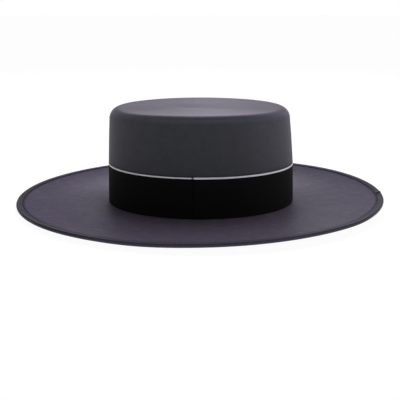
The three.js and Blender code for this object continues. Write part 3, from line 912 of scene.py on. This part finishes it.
def makePiping():
    look = pipingFinish
    middleHeight = (pipingLow[2] + pipingHigh[2]) / 2
    halfHeight = (pipingHigh[2] - pipingLow[2]) / 2
    halfDepth = (hatForm["ribbon"] + look["proud"]) / 2
    rows = []
    for turn in np.radians(np.arange(look["sides"]) * 360 / look["sides"]):
        outwards = halfDepth * (math.cos(turn) - 1) + look["proud"]
        inwards = (-halfDepth * math.cos(turn), -halfHeight * math.sin(turn))
        rows.append(row(wallOval(middleHeight, -outwards), middleHeight - inwards[1], pull=inwards))
    rows.reverse()
    turns, places = openTurns(
        wallOval(middleHeight), ribbonFinish["joinAngle"], look["joinGap"], look["columnSpacing"])
    remaining = places[-1] - places
    thinner = look["stretch"] * bell(remaining, 0, look["stretchLength"])
    thinner += look["nearRound"] * bell(places, 0, look["nearRoundLength"])
    thinner -= look["nearSwell"] * bell(places, 0, look["nearSwellLength"])
    thinner += look["farTaper"] * (1 - ramp(remaining, (0, look["taperLength"]))) ** look["taperPower"]
    piece = gridMesh("whitePiping", rows, turns, places, False, True, thinner)
    grow(piece, sweep, sweepValues(satinCord()))
    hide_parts("band_piping")
    return piece


whitePiping = makePiping()

# Binding: the same kind of ribbon, folded over the edge of the brim and stitched through
bindingFinish = {
    "colour": "#403b4c",
    "roughness": 0.6,
    "gloss": 0.235,
    "sheen": 0.13,
    "sheenTint": "#ecf0ff",
    "ribSpacing": 1.0,
    "ribBump": 0.02,
    "columnSpacing": 1.5,
    "flatSteps": (0, 0.2, 0.6, 1.1, 1.5, 1.9, 2.3, 2.7, 3.3, 4.0),  # rows from the inner edge
    "foldRings": 9,
    "foldPower": 0.7,        # under 1, the fold is squarer than a half circle
    "seamAngle": 86.0,
    "seamGap": 0.15,
    "seamSlant": 7.0,        # the seam is diagonal
    "endShade": 0.25,        # painted shadow: the first end, where it lies over the other, is darker
    "endDip": 0.25,
    "endDipLength": 0.6,
    "foldShade": (0.4, 0.9),  # painted shade: the fold is darker, most at the front and the back of the brim
    "foldShadeSpan": (90, 150),
    "foldPlace": 7.4,        # along the folded section, from its upper inner edge
    "foldSpan": (1.8, 3.2),
    "outermostShade": 0.25,  # painted shade of the whole ribbon at the brim's front and back
    "outermostSpan": (160, 195),
    "lapLength": 9.0,        # the end behind the seam is folded under and lies over the other
    "lapLift": 1.1,
    "pillow": 0.15,
    "innerRise": 0.15,       # the ribbon's inner edge stands above the felt
    "riseLength": 1.6,
    "lip": 0.15,             # its very edge turns down
    "lipWidth": 0.15,
    "grooveDepth": 0.08,
    "grooveWidth": 0.45,
    "stitchInset": 4.3,      # from the outer edge of the brim
    "stitchSpacing": 3.0,
    "stitchLength": 2.3,
    "stitchArch": 0.16,
    "stitchLift": 0.02,
    "unstitched": 3.0,       # at the seam
    "threadWidth": 0.4,
}


def bindingLift(inset):
    # the ribbon swells a little between its edge, the stitches and the fold
    look = bindingFinish
    groove = look["grooveDepth"] * bell(inset, look["stitchInset"], look["grooveWidth"])
    lip = look["lip"] * bell(inset, bindingWidth, look["lipWidth"])
    rising = ramp(inset, (look["stitchInset"], look["stitchInset"] + look["riseLength"]))
    return look["pillow"] + look["innerRise"] * rising - groove - lip


def makeBinding():
    look = bindingFinish
    flatInsets = [bindingWidth - step for step in look["flatSteps"]]
    foldInset = 1.5  # the fold slants as the flat part does here

    def slant(inset):
        return look["seamSlant"] * (0.5 - inset / bindingWidth) / brimEdge[1]

    def face(side):
        return [brimRow(insetOval(brimEdge, inset), side * (outerFold + bindingLift(inset)),
                        pull=(0, max(side, 0)), slant=slant(inset)) for inset in flatInsets]

    def fold(radius, isOuter):
        rows = []
        for turn in np.radians(np.linspace(90, -90, look["foldRings"])):
            square = max(math.cos(turn), 0) ** (look["foldPower"] if isOuter else 1)
            oval = insetOval(brimEdge, outerFold - radius * square)
            swell = look["pillow"] * abs(math.sin(turn)) ** 2 * isOuter
            lapped = (0, isOuter * max(0, math.sin(turn)) ** 2)
            height = (radius + swell) * math.sin(turn)
            rows.append(brimRow(oval, height, pull=lapped, slant=slant(foldInset)))
        return rows

    def lining(above):
        return [brimRow(insetOval(brimEdge, inset), above, slant=slant(inset)) for inset in flatInsets]

    rows = face(1) + fold(outerFold, 1) + list(reversed(face(-1)))
    rows += lining(-innerFold) + list(reversed(fold(innerFold, 0))) + list(reversed(lining(innerFold)))
    turns, places = openTurns(brimEdge, look["seamAngle"], look["seamGap"], look["columnSpacing"])
    lap = look["lapLift"] * np.cos(ramp(places, (0, look["lapLength"])) * math.pi / 2) ** 2
    lap -= look["endDip"] * bell(places, 0, look["endDipLength"])
    piece = gridMesh("brimEdgeRibbon", rows, turns, places, False, True, lap)
    grow(piece, sweep, sweepValues(grosgrain("darkGrosgrain", look)))
    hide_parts("brim_binding")
    return piece


brimEdgeRibbon = makeBinding()

# Thread of the binding: twisted polyester, dyed to match. The eye sees small dark beads in a groove.
threadFinish = {
    "colour": "#0e0d13",
    "roughness": 0.55,
    "plySize": 0.3,
    "plyBump": 0.04,
}


def twistedThread():
    look = threadFinish
    material, tree, place = newMaterial("twistedThread")
    ply = addNode(tree, "ShaderNodeTexNoise", {}, {"Scale": 1 / (look["plySize"] * mm), "Detail": 1.0}, {
        "Vector": place.outputs["Object"]})
    shade = addNode(tree, "ShaderNodeMapRange", {}, {"To Min": 0.8, "To Max": 1.2}, {
        "Value": ply.outputs["Fac"]})
    colour = addNode(tree, "ShaderNodeVectorMath", {"operation": "SCALE"}, {
        0: linearColour(look["colour"])[:3]}, {"Scale": shade})
    bump = addNode(tree, "ShaderNodeBump", {}, {"Strength": 0.4, "Distance": look["plyBump"] * mm}, {
        "Height": ply.outputs["Fac"]})
    shader = addNode(tree, "ShaderNodeBsdfPrincipled", {}, {
        "Roughness": look["roughness"], "Specular IOR Level": 0.3}, {
        "Base Color": colour, "Normal": bump})
    addNode(tree, "ShaderNodeOutputMaterial", links={"Surface": shader})
    return material


def stitchTree():
    # lays a row of arched stitches along a closed path of points
    sockets = {"Spacing": "Float", "Stitch Length": "Float", "Thread Width": "Float", "Arch": "Float",
               "Material": "Material"}
    tree = newTree("stitchRow", sockets)
    given = addNode(tree, "NodeGroupInput")
    path = addNode(tree, "GeometryNodeMeshToCurve", links={"Mesh": given.outputs["Geometry"]})
    places = addNode(tree, "GeometryNodeCurveToPoints", {"mode": "LENGTH"}, {}, {
        "Curve": path, "Length": given.outputs["Spacing"]})
    along = addNode(tree, "FunctionNodeAlignRotationToVector", {"axis": "X"}, {}, {
        "Vector": places.outputs["Tangent"]})
    half = addNode(tree, "ShaderNodeMath", {"operation": "MULTIPLY"}, {1: 0.5}, {
        0: given.outputs["Stitch Length"]})
    minusHalf = addNode(tree, "ShaderNodeMath", {"operation": "MULTIPLY"}, {1: -1.0}, {0: half})
    start = addNode(tree, "ShaderNodeCombineXYZ", links={"X": minusHalf})
    end = addNode(tree, "ShaderNodeCombineXYZ", links={"X": half})
    middle = addNode(tree, "ShaderNodeCombineXYZ", links={"Z": given.outputs["Arch"]})
    arc = addNode(tree, "GeometryNodeCurveQuadraticBezier", {}, {"Resolution": 5}, {
        "Start": start, "Middle": middle, "End": end})
    radius = addNode(tree, "ShaderNodeMath", {"operation": "MULTIPLY"}, {1: 0.5}, {
        0: given.outputs["Thread Width"]})
    outline = addNode(tree, "GeometryNodeCurvePrimitiveCircle", {}, {"Resolution": 6}, {"Radius": radius})
    stitch = addNode(tree, "GeometryNodeCurveToMesh", {}, {"Fill Caps": True}, {
        "Curve": arc, "Profile Curve": outline})
    laid = addNode(tree, "GeometryNodeInstanceOnPoints", {}, {}, {
        "Points": places.outputs["Points"], "Instance": stitch, "Rotation": along})
    realized = addNode(tree, "GeometryNodeRealizeInstances", links={"Geometry": laid})
    smooth = addNode(tree, "GeometryNodeSetShadeSmooth", links={"Geometry": realized})
    painted = addNode(tree, "GeometryNodeSetMaterial", links={
        "Geometry": smooth, "Material": given.outputs["Material"]})
    addNode(tree, "NodeGroupOutput", links={"Geometry": painted})
    return tree


def makeStitches(name, side, tree, material):
    look = bindingFinish
    gap = look["seamGap"] + look["unstitched"]
    turns = openTurns(brimEdge, look["seamAngle"], gap, look["stitchSpacing"] / 2)[0]
    above = outerFold + bindingLift(look["stitchInset"]) + look["stitchLift"]
    line = brimRow(insetOval(brimEdge, look["stitchInset"]), side * above)
    sine, cosine, double = np.sin(turns), np.cos(turns), np.cos(2 * turns)
    edge = edgeMean + edgeWaves[0] * sine + edgeWaves[1] * cosine + edgeWaves[2] * double
    edge += riseAt(edgeRises, turns)
    height = line["height"] + line["rise"] * edge
    path = np.stack([line["oval"][1] * cosine, line["oval"][0] * sine, height], 1)
    mesh = bpy.data.meshes.new(name)
    mesh.from_pydata((path * mm).tolist(), [(i, i + 1) for i in range(len(path) - 1)], [])
    piece = newObject(name, mesh)
    grow(piece, tree, {
        "Spacing": look["stitchSpacing"] * mm, "Stitch Length": look["stitchLength"] * mm,
        "Thread Width": look["threadWidth"] * mm, "Arch": side * look["stitchArch"] * mm,
        "Material": material})
    return piece


stitchRow = stitchTree()
thread = twistedThread()
stitchesAbove = makeStitches("stitchesAbove", 1, stitchRow, thread)
stitchesBelow = makeStitches("stitchesBelow", -1, stitchRow, thread)

for piece in (crownAndBrim, blackRibbon, whitePiping, brimEdgeRibbon, stitchesAbove, stitchesBelow):
    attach(piece, "root")

print("hat finished")
